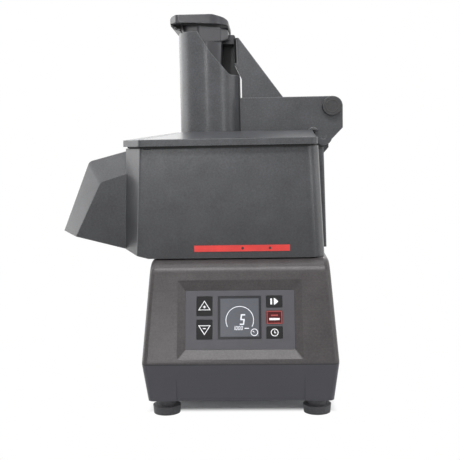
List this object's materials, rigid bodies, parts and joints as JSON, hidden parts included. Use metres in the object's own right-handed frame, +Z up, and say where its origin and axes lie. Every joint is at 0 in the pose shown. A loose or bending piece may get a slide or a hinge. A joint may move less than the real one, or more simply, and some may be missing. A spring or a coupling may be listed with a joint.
{
  "type": "vegetable cutting machine",
  "caption": "Table-top vegetable cutting machine: keyed control base, square bowl with side discharge hood, hinged lid with feed hopper, and lever-driven pusher.",
  "frame": {"origin": "on the table, under the middle of the machine's bounding box", "axes": "+X to the right and +Y to the rear as seen from the control panel, +Z up"},
  "size_m": [0.3994, 0.3226, 0.5382],
  "materials": {
    "base_coating": "satin metallic grey coating",
    "casting_coating": "cast, satin metallic grey coating",
    "galvanised_sheet": "galvanised",
    "machine_steel": "turned and ground",
    "blade_steel": "ground edge",
    "cast_iron_grey": "machined casting",
    "motor_iron": "laminated core",
    "pulley_aluminium": "turned",
    "foot_rubber": "moulded",
    "seal_rubber": "moulded",
    "belt_rubber": "ribbed",
    "pusher_plastic": "fine moulded grain",
    "fascia_foil": "printed foil",
    "key_plastic": "moulded",
    "stop_key_plastic": "moulded, red",
    "window_plastic": "tinted screen",
    "black_plastic": "moulded",
    "fan_plastic": "moulded",
    "board_laminate": "solder mask",
    "marker_plastic": "red",
    "knob_coating": "satin",
    "disc_steel": "brushed stainless"
  },
  "bodies": {
    "base": {"base_housing": "base_coating", "base_plate": "galvanised_sheet", "base_plate_screws": "machine_steel", "foot_front_left": "foot_rubber", "foot_front_right": "foot_rubber", "foot_rear_left": "foot_rubber", "foot_rear_right": "foot_rubber", "foot_screws": "machine_steel", "panel_fascia": "fascia_foil", "display_window": "window_plastic", "display_module": "black_plastic", "circuit_board": "board_laminate", "board_standoffs": "machine_steel", "key_switches": "black_plastic", "chassis_plate": "galvanised_sheet", "chassis_standoffs": "machine_steel", "bearing_housing": "cast_iron_grey", "upper_bearing": "machine_steel", "lower_bearing": "machine_steel", "spindle_spigot": "pulley_aluminium", "spindle_bolts": "machine_steel", "shaft_seal": "seal_rubber", "motor_casing": "cast_iron_grey", "motor_stator": "motor_iron", "drive_belt": "belt_rubber", "drive_board": "board_laminate", "cable_gland": "black_plastic", "bowl_locators": "machine_steel"},
    "spindle": {"drive_shaft": "machine_steel", "driven_pulley": "pulley_aluminium", "drive_pin": "machine_steel", "ejector_disc": "black_plastic", "slicing_disc": "disc_steel", "slicing_blades": "blade_steel", "blade_screws": "machine_steel"},
    "rotor": {"motor_rotor": "motor_iron", "motor_pulley": "pulley_aluminium", "cooling_fan": "fan_plastic"},
    "bowl_body": {"bowl": "casting_coating", "discharge_chute": "casting_coating", "hinge_post": "casting_coating", "marker_strip": "marker_plastic"},
    "lid": {"lid_cover": "casting_coating", "lid_seal": "seal_rubber", "hopper_tube": "casting_coating", "lever_bracket": "casting_coating", "lid_hinge_pin": "machine_steel"},
    "lever": {"lever_arm": "casting_coating", "lever_screws": "machine_steel", "pusher_head": "pusher_plastic", "pusher_body": "pusher_plastic", "handle_cap": "pusher_plastic"},
    "lever_pin": {"pivot_pin": "machine_steel", "pivot_knob": "knob_coating"},
    "key_speed_up": {"key_speed_up": "key_plastic"},
    "key_speed_down": {"key_speed_down": "key_plastic"},
    "key_start": {"key_start": "key_plastic"},
    "key_stop": {"key_stop": "stop_key_plastic"},
    "key_timer": {"key_timer": "key_plastic"}
  },
  "joints": [
    {"name": "key_speed_up_press", "type": "slide", "parent": "base", "child": "key_speed_up", "axis": [0, 0.9472, -0.3206], "range_m": [0, 0.0008], "stiffness_N_per_m": 800, "springref_m": -0.0002},
    {"name": "key_speed_down_press", "type": "slide", "parent": "base", "child": "key_speed_down", "axis": [0, 0.9472, -0.3206], "range_m": [0, 0.0008], "stiffness_N_per_m": 800, "springref_m": -0.0002},
    {"name": "key_start_press", "type": "slide", "parent": "base", "child": "key_start", "axis": [0, 0.9472, -0.3206], "range_m": [0, 0.0008], "stiffness_N_per_m": 800, "springref_m": -0.0002},
    {"name": "key_stop_press", "type": "slide", "parent": "base", "child": "key_stop", "axis": [0, 0.9472, -0.3206], "range_m": [0, 0.0008], "stiffness_N_per_m": 800, "springref_m": -0.0002},
    {"name": "key_timer_press", "type": "slide", "parent": "base", "child": "key_timer", "axis": [0, 0.9472, -0.3206], "range_m": [0, 0.0008], "stiffness_N_per_m": 800, "springref_m": -0.0002},
    {"name": "spindle_spin", "type": "hinge", "parent": "base", "child": "spindle", "pos_m": [0.05315, 0.01032, 0.2], "axis": [0, 0, 1], "continuous": true},
    {"name": "rotor_spin", "type": "hinge", "parent": "base", "child": "rotor", "pos_m": [0.11315, 0.07232, 0.1], "axis": [0, 0, 1], "continuous": true},
    {"name": "bowl_lift", "type": "slide", "parent": "base", "child": "bowl_body", "axis": [0, 0, 1], "range_m": [0, 0.02]},
    {"name": "lid_hinge", "type": "hinge", "parent": "bowl_body", "child": "lid", "pos_m": [0.17215, 0.01032, 0.3695], "axis": [0, 1, 0], "range_deg": [0, 95]},
    {"name": "lever_hinge", "type": "hinge", "parent": "lid", "child": "lever", "pos_m": [0.18415, 0.01032, 0.4121], "axis": [0, 1, 0], "range_deg": [0, 100]},
    {"name": "lever_pin_pull", "type": "slide", "parent": "lid", "child": "lever_pin", "axis": [0, -1, 0], "range_m": [0, 0.07]}
  ],
  "couplings": [
    {"joint": "rotor_spin", "follows": "spindle_spin", "ratio": 2.7553}
  ]
}
